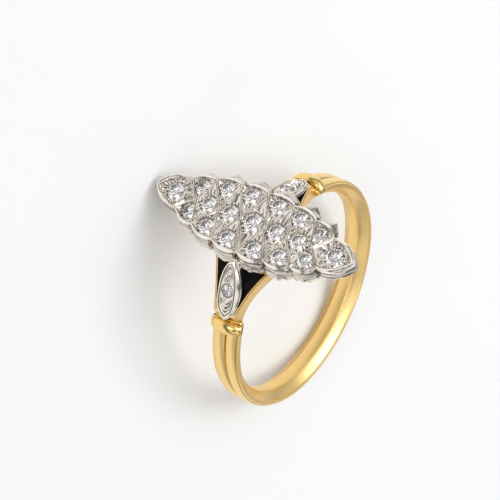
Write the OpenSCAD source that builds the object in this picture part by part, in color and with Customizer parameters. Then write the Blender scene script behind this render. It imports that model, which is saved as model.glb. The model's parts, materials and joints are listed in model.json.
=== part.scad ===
// Navette ring: a gold band with two reeds, beaded collars and trumpet shoulders carries a long
// pointed head in white metal, set with nineteen round brilliants in a trellis of straight ridges.
// A white-metal leaf with one brilliant lies on each shoulder, between two fields of black enamel.
// The ring is drawn upright about the middle of its finger hole, X along the finger and Z through
// the head, and is then laid on its side, on one point of the head and the edge of the band.

/* [Finger band] */
// Inside diameter of the band
finger_d = 17; // [16.5:0.25:18]
// Width of the band along the finger
band_w = 2.44; // [2.3:0.02:2.6]
// Radius of each of the two reeds that run round the band
reed_r = 0.95; // [0.85:0.01:1.05]
// Distance of each reed's centre from the middle of the band
reed_x = 0.58; // [0.52:0.02:0.64]
// Thickness of the band at the crests of its reeds
crest_t = 1.17; // [1.1:0.01:1.25]
// Half width of the band's flat inner face, between its sloping inner edges
inner_half_w = 0.5; // [0.4:0.05:0.6]
// Height of the sloping inner edges
inner_slope_h = 0.62; // [0.5:0.02:0.7]

/* [Collars] */
// Angle of each collar from the middle of the head
collar_a = 41.5; // [41:0.1:43]
// Radius of the bead that makes a collar
collar_r = 0.56; // [0.5:0.02:0.62]
// Half width of a collar along the finger
collar_half_w = 1.34; // [1.3:0.02:1.5]
// Radius of the arch that a collar makes over the band
collar_arch_r = 2.2; // [1.9:0.1:2.5]
// Height of the top of a collar above the finger hole
collar_h = 1.85; // [1.75:0.05:1.9]

/* [Shoulders] */
// Thickness of a shoulder between the finger hole and its top
shoulder_t = 1.7; // [1.6:0.05:1.8]
// Half width of a shoulder at its waist, beside the collar
waist = 0.78; // [0.74:0.01:0.84]
// Radius of the curve in which a shoulder flares towards the head
flare_r = 13.9; // [13:0.1:15]
// Angle from the middle of the head at which a shoulder ends under it
shoulder_end_a = 11.5; // [10:0.5:13]
// Width of the gold edge round the black fields
edge_w = 0.17; // [0.14:0.01:0.2]
// Depth of the black fields
field_d = 0.32; // [0.25:0.01:0.4]
// How far the enamel stays below the gold edge
enamel_low = 0.08; // [0.05:0.01:0.12]

/* [Leaves] */
// Length of a shoulder leaf from its middle to its point under the head
leaf_up = 2.4; // [2.3:0.05:2.5]
// Length of a shoulder leaf from its middle to its blunt end at the collar
leaf_down = 2.45; // [2.35:0.05:2.5]
// Half width of a leaf at its widest
leaf_half_w = 0.82; // [0.78:0.01:0.86]
// Distance of a leaf's middle from the middle of the ring, across the finger
leaf_y = 4.55; // [4.5:0.05:4.65]
// Height of a leaf's middle above the middle of the finger hole
leaf_z = 9.8; // [9.7:0.05:9.9]
// Slope of a leaf, down from the head to the collar
leaf_slope = 44; // [43:0.1:45]
// Width of the rim round a leaf
leaf_rim = 0.14; // [0.1:0.01:0.18]
// Depth of the sunk face inside that rim
leaf_sunk = 0.15; // [0.1:0.01:0.2]
// Diameter of the brilliant in each leaf
leaf_stone_d = 1.05; // [0.95:0.05:1.1]

/* [Head] */
// Height of the head's ridges above the middle of the finger hole
head_top = 11.8; // [11.7:0.05:11.9]
// Height of the head's lower edge above the middle of the finger hole
head_bottom = 10; // [9.95:0.05:10.1]
// Half length of the head's upper edge
head_half_l = 8.8; // [8.7:0.05:8.9]
// Distance of the head off the middle of the band, towards the far shoulder
head_off = 0.5; // [0.4:0.05:0.6]
// Half width of the head's upper edge at the middle notch
head_half_w = 2.5; // [2.45:0.01:2.6]
// How far each scallop bulges out from the line between its notches
scallop = 0.34; // [0.26:0.01:0.4]
// How far the two curves that meet in the head's point bulge out
point_bulge = 0.42; // [0.36:0.01:0.46]
// Width of the ridges at their crest
ridge_w = 0.1; // [0.08:0.01:0.14]
// Depth of the cells between the ridges
cell_d = 0.26; // [0.2:0.01:0.3]
// Thickness of the pierced plate that holds the stones
plate_t = 0.95; // [0.9:0.05:1]
// Width of the rim outside the cells
rim_w = 0.2; // [0.16:0.01:0.24]
// Thickness of the head's side walls at their foot
wall_t = 0.55; // [0.5:0.05:0.65]

/* [Gallery] */
// Thickness of the gold rail under the head
rail_t = 0.28; // [0.24:0.01:0.32]
// Half length of the rail
rail_half_l = 8.1; // [8:0.05:8.3]
// Half width of the rail
rail_half_w = 2.76; // [2.7:0.02:2.8]
// Width of the metal in the rail
rail_w = 0.75; // [0.6:0.05:0.9]

/* [Stones] */
// Diameter of the middle brilliant
middle_stone_d = 1.7; // [1.6:0.05:1.75]
// Height of the ridges above the stones' girdles
girdle_low = 0.16; // [0.12:0.01:0.2]
// Gap between a stone and its seat
seat_gap = 0.03; // [0.02:0.01:0.04]
// Radius of the grains that hold the stones
grain_r = 0.11; // [0.09:0.01:0.12]

/* [Hidden] */
$fn = 64;

// Stones of the middle row on one side: place along the head and diameter
MIDDLE = [[0, middle_stone_d], [2.08, 1.5], [4.03, 1.44], [7.15, 1.52]];
// Stones of an outer row on one side: place along the head, place across it and diameter
OUTER = [[1.2, 1.87, 1.44], [3.26, 1.64, 1.4], [5.23, 1.07, 1.34]];
// Places on the middle line where the ridges meet
JOINTS = [1.07, 3.08, 5.2];
// Notches between the scallops, from the middle notch to the head's point
NOTCHES = [
    [0, head_half_w],
    [2.33, head_half_w - 0.13],
    [4.45, head_half_w - 0.54],
    [6.33, head_half_w - 1.18],
    [head_half_l, 0]
];
// Side wall of the head from the top down: share of its height, distance out from the notches,
// how much further in it lies at the head's points, and share of the scallops' bulge
WALL = [
    [0, 0, 0, 0.6],
    [0.12, 0.06, 0.02, 1],
    [0.3, 0.36, 0.2, 1],
    [0.5, 0.46, 0.34, 1],
    [0.55, 0.28, 0.34, 1],
    [0.62, 0.34, 0.4, 1],
    [1, -0.05, 0.5, 1]
];

SIDES = ["a", "b"];
ROWS = ["near", "far"];

gold_c = [0.93, 0.74, 0.38];
white_c = [0.86, 0.85, 0.83];
enamel_c = [0.06, 0.06, 0.06];
stone_c = [0.93, 0.96, 1];

finger_r = finger_d / 2;
reed_h = finger_r + crest_t - reed_r;
edge_h = reed_h + sqrt(reed_r * reed_r - (band_w / 2 - reed_x) * (band_w / 2 - reed_x));
shoulder_r = finger_r + shoulder_t;
field_r = shoulder_r - field_d;
enamel_r = shoulder_r - enamel_low;
girdle_z = head_top - girdle_low;
rail_top = head_bottom - 0.02;
// Reach of the head's side wall from the head's middle line
wall_reach = head_half_w + scallop + 0.4;
// Angle by which the band and a shoulder each run past the middle of the collar
joint_a = 1.5;
// Angles from the middle of the head between which the black fields lie
field_from_a = 11.5;
field_to_a = 34;
// Angle from the middle of the head on which a shoulder's plan is centred
plan_a = 29;
// Distance of a shoulder's waist from there, towards the collar
waist_s = 3.6;
// Points on each scallop
arc_n = 5;
// Small overlap of a cutter, small gap between two pieces, and a length past everything
eps = 0.01;
air = 0.02;
far_out = 40;

// The ring lies on the side wall at the head's point and on the edge of the band
belly = WALL[3];
belly_x = head_half_l + belly[1] - belly[2];
belly_z = head_top - belly[0] * (head_top - head_bottom);
lie_a = atan((belly_x - band_w / 2) / (belly_z + edge_h));
rise = band_w / 2 * cos(lie_a) + edge_h * sin(lie_a);
box_front = head_half_l * sin(lie_a) + head_top * cos(lie_a);
box_back = reed_x * sin(lie_a) + reed_h * cos(lie_a) + reed_r;

module laid() {
    translate([(box_front - box_back) / 2, 0, rise])
        rotate([0, lie_a - 90, 0])
            children();
}

// What is drawn about the Z axis, with +X down, goes round the finger
module about_finger() {
    rotate([0, 90, 0]) children();
}

// What stands up on Z moves round the finger to an angle from the middle of the head
module at_angle(a) {
    rotate([-a, 0, 0]) children();
}

// side is -1 for the near shoulder and 1 for the far one
module on_side(side) {
    mirror([0, side < 0 ? 1 : 0, 0]) children();
}

module band_section() {
    intersection() {
        union() {
            for (side = [-1, 1])
                translate([reed_h, side * reed_x]) circle(r = reed_r);
            translate([finger_r - 1, -band_w / 2]) square([reed_h - finger_r + 1, band_w]);
        }
        translate([finger_r - 1, -band_w / 2]) square([1 + 2 * crest_t, band_w]);
    }
}

// Room for the finger: the round hole, and on each side of its flat face a slope and a wider hole
module finger_space() {
    slope_w = 0.96 * inner_slope_h;
    wide_r = finger_r + inner_slope_h;
    rotate([0, 90, 0]) cylinder(h = far_out, r = finger_r, center = true, $fn = 256);
    for (side = [-1, 1])
        rotate([0, 90 * side, 0]) {
            translate([0, 0, inner_half_w])
                cylinder(h = slope_w, r1 = finger_r, r2 = wide_r, $fn = 256);
            translate([0, 0, inner_half_w + slope_w])
                cylinder(h = far_out, r = wide_r, $fn = 256);
        }
}

module band() {
    reach = 180 - collar_a + joint_a;
    about_finger()
        rotate([0, 0, -reach])
            rotate_extrude(angle = 2 * reach)
                band_section();
}

// The collar's bead arches over the band from one side to the other
module collar() {
    bead_r = collar_arch_r - collar_r;
    at_angle(collar_a)
        intersection() {
            translate([0, 0, finger_r + collar_h - collar_arch_r])
                rotate([90, 0, 0])
                    rotate_extrude() {
                        translate([bead_r, 0]) circle(r = collar_r);
                        translate([0, -collar_r]) square([bead_r, 2 * collar_r]);
                    }
            translate([-collar_half_w, -2 * collar_r, 0])
                cube([2 * collar_half_w, 4 * collar_r, far_out]);
        }
}

// Plan of a shoulder from outside, X along the finger and Y towards the collar
module shoulder_plan(inset = 0) {
    difference() {
        translate([-3.6, -4]) square([7.2, 7]);
        for (side = [-1, 1])
            translate([side * (waist + flare_r), waist_s])
                circle(r = flare_r + inset, $fn = 128);
    }
}

// A wall between two radii about the finger, from one angle to another, cut to the plan
module shoulder_wall(r_low, r_high, from_a, to_a, inset = 0) {
    intersection() {
        about_finger()
            rotate([0, 0, 180 - to_a])
                rotate_extrude(angle = to_a - from_a)
                    translate([r_low, -4]) square([r_high - r_low, 8]);
        at_angle(plan_a)
            linear_extrude(far_out) shoulder_plan(inset);
    }
}

module rail_plan(half_l, half_w) {
    r = (half_l * half_l + half_w * half_w) / (2 * half_w);
    intersection_for(side = [-1, 1])
        translate([0, side * (r - half_w)]) circle(r = r, $fn = 256);
}

module rail() {
    translate([0, head_off, rail_top - rail_t])
        linear_extrude(rail_t)
            difference() {
                rail_plan(rail_half_l, rail_half_w);
                rail_plan(rail_half_l - 2 * rail_w, rail_half_w - rail_w);
            }
}

module gold_mount() {
    color(gold_c)
        difference() {
            union() {
                band();
                rail();
                for (side = [-1, 1])
                    on_side(side) {
                        collar();
                        difference() {
                            shoulder_wall(
                                finger_r, shoulder_r, shoulder_end_a, collar_a + joint_a
                            );
                            field_cut(side);
                            translate([-far_out / 2, -eps, rail_top - rail_t / 2])
                                cube([far_out, rail_half_w + side * head_off, far_out]);
                        }
                    }
            }
            finger_space();
        }
}

// The sunk field of one shoulder, from beside the rail to the collar's side of the leaf
module field_cut(side) {
    intersection() {
        shoulder_wall(field_r, shoulder_r + 1, field_from_a, field_to_a, edge_w);
        translate([-far_out / 2, rail_half_w + side * head_off + air, 0]) cube(far_out);
    }
}

module enamel(side) {
    color(enamel_c)
        on_side(side)
            intersection() {
                shoulder_wall(field_r + air, enamel_r, field_from_a, field_to_a - 0.2, edge_w + air);
                translate([-far_out / 2, rail_half_w + side * head_off + 2 * air, 0])
                    cube(far_out);
            }
}

// Half width of a leaf at a distance from its middle, towards the collar
function leaf_w(t) =
    let (widest = 0.3)
    t < widest
        ? leaf_half_w * (1 - pow((widest - t) / (leaf_up + widest), 2.4))
        : leaf_half_w * (1 - pow((t - widest) / (leaf_down - widest), 3.5));

module leaf_plan() {
    n = 12;
    step = (leaf_up + leaf_down) / n;
    polygon(concat(
        [for (i = [0:n]) [leaf_w(i * step - leaf_up), i * step - leaf_up]],
        [for (i = [n - 1:-1:1]) [-leaf_w(i * step - leaf_up), i * step - leaf_up]]
    ));
}

// What is drawn on the plane of a leaf's rim, Y towards the collar, goes to its shoulder
module on_leaf() {
    translate([0, leaf_y, leaf_z]) rotate([-leaf_slope, 0, 0]) children();
}

module leaf(side) {
    depth = 2.2;
    color(white_c)
        on_side(side)
            difference() {
                on_leaf()
                    difference() {
                        translate([0, 0, -depth]) linear_extrude(depth) leaf_plan();
                        translate([0, 0, -leaf_sunk])
                            linear_extrude(leaf_sunk + eps)
                                offset(delta = -leaf_rim) leaf_plan();
                        translate([0, 0, -leaf_sunk / 2]) seat(leaf_stone_d, 0.2 * leaf_stone_d);
                    }
                rotate([0, 90, 0])
                    cylinder(h = far_out, r = shoulder_r + air, center = true, $fn = 256);
                at_angle(collar_a)
                    translate([-far_out / 2, -collar_r - air, 0]) cube(far_out);
                translate([-far_out / 2, wall_reach + side * head_off - far_out, 0])
                    cube(far_out);
            }
}

// Room for a stone: the cone of its underside, the way open above its girdle and a hole below
module seat(d, hole_l) {
    r = d / 2 + seat_gap;
    depth = 0.3 * d;
    hole_r = 0.2 * d;
    top = -2 * seat_gap / 3;
    translate([0, 0, top]) cylinder(h = 1, r = r, $fn = 16);
    translate([0, 0, top - depth]) cylinder(h = depth + eps, r1 = hole_r, r2 = r, $fn = 16);
    translate([0, 0, top - depth - hole_l]) cylinder(h = hole_l + eps, r = hole_r, $fn = 16);
}

// Round brilliant about its girdle: table, stars, kites, halves, girdle, halves and mains
module brilliant(d) {
    r = d / 2;
    girdle = 0.015 * d;
    table_r = 0.58 * r;
    table_z = 0.16 * d;
    star_r = 0.8 * r;
    low_r = 0.26 * r;
    culet_z = -0.43 * d;
    half_a = 22.5;
    star_z = table_z
        + (star_r * cos(half_a) - table_r) * (girdle - table_z) / (r - table_r);
    low_z = culet_z + low_r * cos(half_a) * (-girdle - culet_z) / r;
    ring8 = [0:7];
    points = concat(
        [for (i = ring8) [table_r * cos(45 * i), table_r * sin(45 * i), table_z]],
        [for (i = ring8) [star_r * cos(45 * i + half_a), star_r * sin(45 * i + half_a), star_z]],
        [for (i = [0:15]) [r * cos(half_a * i), r * sin(half_a * i), girdle]],
        [for (i = [0:15]) [r * cos(half_a * i), r * sin(half_a * i), -girdle]],
        [for (i = ring8) [low_r * cos(45 * i + half_a), low_r * sin(45 * i + half_a), low_z]],
        [[0, 0, culet_z]]
    );
    faces = concat(
        [[for (i = [7:-1:0]) i]],
        [for (i = ring8) [i, (i + 1) % 8, 8 + i]],
        [for (i = ring8) [i, 8 + i, 16 + 2 * i]],
        [for (i = ring8) [i, 16 + 2 * i, 8 + (i + 7) % 8]],
        [for (i = ring8) [8 + i, 17 + 2 * i, 16 + 2 * i]],
        [for (i = ring8) [8 + i, 16 + (2 * i + 2) % 16, 17 + 2 * i]],
        [for (i = [0:15]) [16 + i, 16 + (i + 1) % 16, 32 + (i + 1) % 16]],
        [for (i = [0:15]) [16 + i, 32 + (i + 1) % 16, 32 + i]],
        [for (i = ring8) [48 + i, 32 + 2 * i, 33 + 2 * i]],
        [for (i = ring8) [48 + i, 33 + 2 * i, 32 + (2 * i + 2) % 16]],
        [for (i = ring8) [56, 32 + 2 * i, 48 + i]],
        [for (i = ring8) [56, 48 + (i + 7) % 8, 32 + 2 * i]]
    );
    color(stone_c) polyhedron(points, faces);
}

function unit(v) = v / norm(v);

// A point of the head's outline moved out, square to a long ellipse of the head's proportions
function outward(p, by) =
    p + by * unit([p[0] / pow(head_half_l, 2), p[1] / pow(head_half_w, 2)]);

// Points of a bulging curve between two notches, without the last one
function bulging(a, b, bulge) =
    let (side = unit([b[1] - a[1], a[0] - b[0]]))
    [for (k = [0:arc_n - 1])
        let (t = k / arc_n) a + (b - a) * t + side * bulge * 4 * t * (1 - t)];

// All notches and both points, counter-clockwise from the point on +X
corners = concat(
    [for (i = [4:-1:0]) NOTCHES[i]],
    [for (i = [1:4]) [-NOTCHES[i][0], NOTCHES[i][1]]],
    [for (i = [3:-1:0]) -NOTCHES[i]],
    [for (i = [1:3]) [NOTCHES[i][0], -NOTCHES[i][1]]]
);

// Outline of the head with its scallops at a share of their full bulge
function outline(share) = [
    for (i = [0:15])
        let (a = corners[i], b = corners[(i + 1) % 16])
        each bulging(a, b, max(abs(a[0]), abs(b[0])) > 8 ? point_bulge : share * scallop)
];

// The head's outside: its outline carried down the side wall
module head_body() {
    n = len(outline(1));
    rows = len(WALL);
    points = [
        for (w = WALL)
            let (z = head_top - w[0] * (head_top - head_bottom))
            for (p = outline(w[3]))
                let (q = outward(p, w[1] - w[2] * pow(p[0] / head_half_l, 2))) [q[0], q[1], z]
    ];
    sides = [
        for (j = [0:rows - 2])
            for (i = [0:n - 1])
                let (k = (i + 1) % n)
                [j * n + i, j * n + k, (j + 1) * n + k, (j + 1) * n + i]
    ];
    polyhedron(
        points,
        concat([[for (i = [n - 1:-1:0]) i]], sides, [[for (i = [0:n - 1]) (rows - 1) * n + i]]),
        convexity = 6
    );
}

// A cell slopes from the crests of the ridges round it down to its stone
module cell(plan, x, y, d) {
    hull() {
        translate([0, 0, head_top - eps])
            linear_extrude(0.1) offset(delta = -ridge_w / 2) polygon(plan);
        translate([x, y, head_top - cell_d]) cylinder(h = 0.02, r = d / 2 + 0.05, $fn = 16);
    }
    translate([x, y, girdle_z]) seat(d, plate_t);
}

function inside(p) = outward(p, -rim_w);
function flip(p, sx, sy) = [sx * p[0], sy * p[1]];

module middle_cell(i) {
    x = MIDDLE[i][0];
    left = i == 0 ? -JOINTS[0] : JOINTS[i - 1];
    notch = inside(NOTCHES[i]);
    cell([[left, 0], notch, [JOINTS[i], 0], flip(notch, 1, -1)], x, 0, MIDDLE[i][1]);
}

module point_cell() {
    upper = [for (p = bulging(NOTCHES[4], NOTCHES[3], -point_bulge)) inside(p)];
    plan = concat(
        [inside([head_half_l - 0.15, 0])],
        [for (k = [1:arc_n - 1]) upper[k]],
        [inside(NOTCHES[3]), [JOINTS[2] + 0.1, 0], flip(inside(NOTCHES[3]), 1, -1)],
        [for (k = [arc_n - 1:-1:1]) flip(upper[k], 1, -1)]
    );
    cell(plan, MIDDLE[3][0], 0, MIDDLE[3][1]);
}

module outer_cell(i, sy) {
    rim = concat(bulging(NOTCHES[i + 1], NOTCHES[i], -WALL[0][3] * scallop), [NOTCHES[i]]);
    plan = concat([[JOINTS[i], 0]], [for (p = rim) inside(p)]);
    cell([for (p = plan) flip(p, 1, sy)], OUTER[i][0], sy * OUTER[i][1], OUTER[i][2]);
}

module grains(x, y, d, turn) {
    for (k = [0:3])
        translate([x, y, girdle_z])
            rotate([0, 0, turn + 90 * k])
                translate([d / 2 + grain_r + air, 0, -0.02]) sphere(r = grain_r, $fn = 6);
}

module both_ends() {
    children();
    mirror([1, 0, 0]) children();
}

module head() {
    foot_l = head_half_l - wall_t;
    foot_w = head_half_w - wall_t;
    color(white_c) translate([0, head_off, 0]) {
        difference() {
            head_body();
            middle_cell(0);
            both_ends() {
                for (i = [1:2]) middle_cell(i);
                point_cell();
                for (i = [0:2])
                    for (sy = [-1, 1]) outer_cell(i, sy);
            }
            translate([0, 0, head_bottom - 1])
                linear_extrude(1 + head_top - plate_t - head_bottom)
                    rail_plan(foot_l - wall_t, foot_w, $fn = 48);
            arches();
        }
        grains(0, 0, MIDDLE[0][1], 45);
        both_ends() {
            for (i = [1:3]) grains(MIDDLE[i][0], 0, MIDDLE[i][1], 45);
            for (s = OUTER)
                for (sy = [-1, 1]) grains(s[0], sy * s[1], s[2], 0);
        }
    }
}

// Small arches under the notches leave a wavy lower edge
module arches() {
    for (c = corners)
        if (abs(c[1]) > 1) {
            n = unit([c[0] / pow(head_half_l, 2), c[1] / pow(head_half_w, 2)]);
            translate([c[0], c[1], head_bottom - 0.08])
                rotate([0, 90, atan2(n[1], n[0])])
                    translate([0, 0, -0.1]) cylinder(h = 1, r = 0.34, $fn = 12);
        }
}

module stone_at(x, y, d) {
    translate([x, y + head_off, girdle_z]) brilliant(d);
}

module leaf_stone(side) {
    on_side(side) on_leaf() translate([0, 0, -leaf_sunk / 2]) brilliant(leaf_stone_d);
}

laid() {
    gold_mount();
    head();
    leaf(-1);  // leaf_near
    leaf(1);  // leaf_far
    enamel(-1);  // enamel_near
    enamel(1);  // enamel_far
    leaf_stone(-1);  // stone_leaf_near
    leaf_stone(1);  // stone_leaf_far
    stone_at(0, 0, MIDDLE[0][1]);  // stone_mid_0
    for (s = [0, 1]) {
        sx = 2 * s - 1;
        for (i = [1:3]) {
            stone_at(sx * MIDDLE[i][0], 0, MIDDLE[i][1]);
            for (r = [0, 1])
                stone_at(sx * OUTER[i - 1][0], (2 * r - 1) * OUTER[i - 1][1], OUTER[i - 1][2]);
        }
    }
}
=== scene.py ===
# %% [markdown]
# # A navette ring, laid on its side
# This notebook dresses a ring whose sizes are already fixed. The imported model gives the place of
# every piece, and here each piece gets its crisp edges, its engraving and its metal. The ring is
# drawn upright first, in millimetres about the middle of its finger hole, because that is how a
# jeweller holds it, and one matrix then lays every piece down where the model lies.

import json
import math

import bmesh
import bpy
from mathutils import Matrix, Vector, noise

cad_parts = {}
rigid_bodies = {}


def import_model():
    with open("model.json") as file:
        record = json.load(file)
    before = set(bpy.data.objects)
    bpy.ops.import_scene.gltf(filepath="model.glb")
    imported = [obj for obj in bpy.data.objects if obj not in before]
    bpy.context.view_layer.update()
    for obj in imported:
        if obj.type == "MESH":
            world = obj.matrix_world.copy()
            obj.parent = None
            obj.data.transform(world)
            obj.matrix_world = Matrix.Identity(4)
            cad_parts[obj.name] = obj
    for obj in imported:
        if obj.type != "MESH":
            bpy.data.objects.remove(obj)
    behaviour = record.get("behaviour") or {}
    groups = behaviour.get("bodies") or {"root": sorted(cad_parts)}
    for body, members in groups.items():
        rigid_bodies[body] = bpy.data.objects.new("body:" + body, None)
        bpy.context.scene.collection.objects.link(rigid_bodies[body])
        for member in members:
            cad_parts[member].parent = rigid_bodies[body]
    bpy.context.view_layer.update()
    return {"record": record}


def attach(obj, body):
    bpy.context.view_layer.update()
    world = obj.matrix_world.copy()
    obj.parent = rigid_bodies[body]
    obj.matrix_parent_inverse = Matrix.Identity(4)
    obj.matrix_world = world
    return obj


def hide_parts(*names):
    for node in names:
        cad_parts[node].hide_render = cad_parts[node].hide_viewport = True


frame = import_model()

# %% [markdown]
# The finger hole is the one place that the model states exactly: its middle and its axis. From
# these two the upright ring and the lying ring share one matrix. X runs along the finger, Z from
# the middle of the hole to the head, and Y across both.

# %% From the upright ring to the lying one
hole = frame["record"]["mounts"][0]
along = Vector(hole["axis"]).normalized()
across = Vector((0, 1, 0))
upward = along.cross(across)
turn = Matrix((along, across, upward)).transposed().to_4x4()
LAY_DOWN = Matrix.Translation(hole["pos_m"]) @ turn @ Matrix.Scale(0.001, 4)
print("the head looks towards", [round(n, 3) for n in upward])

# %% [markdown]
# Three habits keep the work clean. Everything is deselected before a new piece starts, because
# an operator acts on all that is selected. A finished piece is laid down in its mesh, so that its
# object stays at the origin. And each piece rides on the ring's one body.


# %% Small helpers for every piece
def clear():
    """Leaves edit mode and selects nothing."""
    if bpy.context.object and bpy.context.object.mode != "OBJECT":
        bpy.ops.object.mode_set(mode="OBJECT")
    bpy.ops.object.select_all(action="DESELECT")


def pick(piece):
    """Selects one piece alone."""
    clear()
    piece.select_set(True)
    bpy.context.view_layer.objects.active = piece


def tidy_mesh(piece, caps=True, merge=1e-4):
    """Merges the seam, closes open ends and turns all faces outwards."""
    pick(piece)
    bpy.ops.object.mode_set(mode="EDIT")
    bpy.ops.mesh.select_all(action="SELECT")
    bpy.ops.mesh.remove_doubles(threshold=merge)
    if caps:
        bpy.ops.mesh.fill_holes(sides=0)
        bpy.ops.mesh.select_all(action="SELECT")
    bpy.ops.mesh.normals_make_consistent(inside=False)
    bpy.ops.object.mode_set(mode="OBJECT")


def lay_down(piece, name, stands_for=(), angle=32):
    """Lays a piece where the model lies, gives it its shading and body, and hides the model's parts it
    stands for.
    """
    piece.name = name
    piece.data.name = name
    piece.data.transform(LAY_DOWN)
    pick(piece)
    bpy.ops.object.shade_smooth_by_angle(angle=math.radians(angle))
    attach(piece, "root")
    if stands_for:
        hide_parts(*stands_for)
    print(name, "faces:", len(piece.data.polygons))
    return piece


# %% [markdown]
# Most of this ring is shaped like a loaf of profiles: a row of points goes round a form, and the
# next row lies a little further down its wall. A flat grid can be rolled up into such a form.
# Its columns go round and its rows go down, and one number for each point says how much painted
# shade it gets: the metals darken grooves, cut lines and notches with it, where shade would fall.


# %% Roll a grid into a form
def rolled(rows, caps=True, merge=1e-4):
    """A grid whose rows are closed loops, lists of (x, y, z, painted shade)."""
    clear()
    columns = len(rows[0]) + 1
    bpy.ops.mesh.primitive_grid_add(
        x_subdivisions=columns - 1, y_subdivisions=len(rows) - 1, size=1
    )
    piece = bpy.context.object
    # Painted shade: one amount for each point, which darkens the metal there as shade would.
    painted_shade = piece.data.attributes.new("painted_shade", "FLOAT", "POINT")
    order = sorted(piece.data.vertices, key=lambda v: (round(v.co.y, 5), round(v.co.x, 5)))
    for k, vertex in enumerate(order):
        row, column = divmod(k, columns)
        x, y, z, depth = rows[row][column % len(rows[0])]
        vertex.co = (x, y, z)
        painted_shade.data[vertex.index].value = depth
    tidy_mesh(piece, caps, merge)
    return piece


def joined(pieces):
    """Several pieces made one."""
    clear()
    for piece in pieces:
        piece.select_set(True)
    bpy.context.view_layer.objects.active = pieces[0]
    bpy.ops.object.join()
    return bpy.context.object


def copies(piece, places):
    """One finished piece copied to each place, each copy with its own mesh, and made one."""
    made = []
    for place in places:
        twin = piece.copy()
        twin.data = piece.data.copy()
        twin.data.transform(place)
        bpy.context.scene.collection.objects.link(twin)
        made.append(twin)
    bpy.data.objects.remove(piece)
    return joined(made)


# %% [markdown]
# ## The sizes of the ring
# These are the sizes the model was built with. The finger hole is 17 mm across. The band has two
# round reeds with a narrow valley between them, and its inner edges slope so that it slides on.

# %% Sizes round the finger
FINGER_R = 8.5
WIDE_R = 9.12
BAND_HALF_W = 1.22
REED_X = 0.58
REED_H = 8.72
REED_R = 0.95
SHOULDER_R = 10.2
COLLAR_A = 41.5
UNDER_COLLAR = 1.2


def hole_r(x):
    """Radius of the finger hole at a distance along the finger."""
    return FINGER_R + min(max(abs(x) - 0.5, 0) / 0.96, WIDE_R - FINGER_R)


def round_finger(x, r, angle):
    """A point at a radius and at an angle from the middle of the head."""
    a = math.radians(angle)
    return Vector((x, r * math.sin(a), r * math.cos(a)))


# %% [markdown]
# ## The band
# A reeded band is drawn through a shaped plate, bent round and soldered under its collars. The
# same can be done here: a circle of points is moved to the section of the wire, and spun round
# the finger's axis. A fine step beside each reed gives the thin bright line along its edge.

# %% The section of the wire
VALLEY = (0.015, 9.36)
REED_START, REED_END = 0.02, 1.02
# Points of one half as (distance from the middle, radius)
STEP = [(1.03, 9.455), (1.06, 9.5), (1.15, 9.47), (1.2, 9.43), (BAND_HALF_W, 9.38)]
INSIDE = [(BAND_HALF_W, 9.15), (1.19, 9.125), (1.1, WIDE_R), (0.8, 8.81), (0.53, 8.53)]
INSIDE += [(0.44, FINGER_R)]
half = [VALLEY]
for k in range(1, 13):
    x = REED_START + (REED_END - REED_START) * k / 12
    half.append((x, REED_H + math.sqrt(REED_R**2 - (x - REED_X) ** 2)))
half += STEP + INSIDE
section = half + [(-x, r) for x, r in reversed(half)]
print("points in the section:", len(section))

# %% Spin it round the finger
clear()
bpy.ops.mesh.primitive_circle_add(vertices=len(section), radius=1, fill_type="NGON")
band = bpy.context.object
start_a = COLLAR_A - UNDER_COLLAR
for vertex, (x, r) in zip(band.data.vertices, section):
    vertex.co = round_finger(x, r, start_a)
bpy.ops.object.mode_set(mode="EDIT")
bpy.ops.mesh.select_all(action="SELECT")
round_a = math.radians(360 - 2 * start_a)
bpy.ops.mesh.spin(steps=132, angle=round_a, center=(0, 0, 0), axis=(1, 0, 0))
bpy.ops.object.mode_set(mode="OBJECT")
tidy_mesh(band)
# Painted shade: the valley between the reeds is darkened fully, and the foot of the fine step beside
# each reed a little.
painted_shade = band.data.attributes.new("painted_shade", "FLOAT", "POINT")
for vertex in band.data.vertices:
    from_middle, r = abs(vertex.co.x), math.hypot(vertex.co.y, vertex.co.z)
    in_valley = from_middle < 2 * VALLEY[0] and r > WIDE_R
    in_line = 1.0 < from_middle < 1.05 and r > WIDE_R
    painted_shade.data[vertex.index].value = 1.0 if in_valley else 0.3 if in_line else 0
lay_down(band, "band", angle=40)

# %% [markdown]
# ## The collars
# Where the band meets a shoulder, a collar hides the joint. It is a bead between two fine
# fillets, and it arches over the band. A section is carried along the arch and gets smaller
# towards both ends, and each point is kept out of the finger hole.

# %% The collar's section and its arch
ARCH_FOOT = 8.15
ARCH_LOW_R = 1.64
ARCH_TOP_R = 2.24
COLLAR_HALF_W = 1.37
COLLAR_HALF_T = 0.58
COLLAR_END = 0.5
END_LOW, END_TOP = 9.42, 9.5
MEAN_R = 9.6
# Share of the half thickness, share of the height from the bead's middle to its top, and painted
# shade, which darkens the foot of each fillet and the groove beside the bead
BEAD = [(1, -0.3, 0.6), (1, -0.05, 0.6), (1.05, 0.1, 0), (1.03, 0.24, 0), (0.92, 0.3, 0)]
BEAD += [(0.84, 0.2, 1), (0.79, 0.3, 1), (0.76, 0.58, 0), (0.62, 0.8, 0), (0.46, 0.92, 0)]
BEAD += [(0.24, 0.98, 0), (0, 1, 0)]


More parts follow.
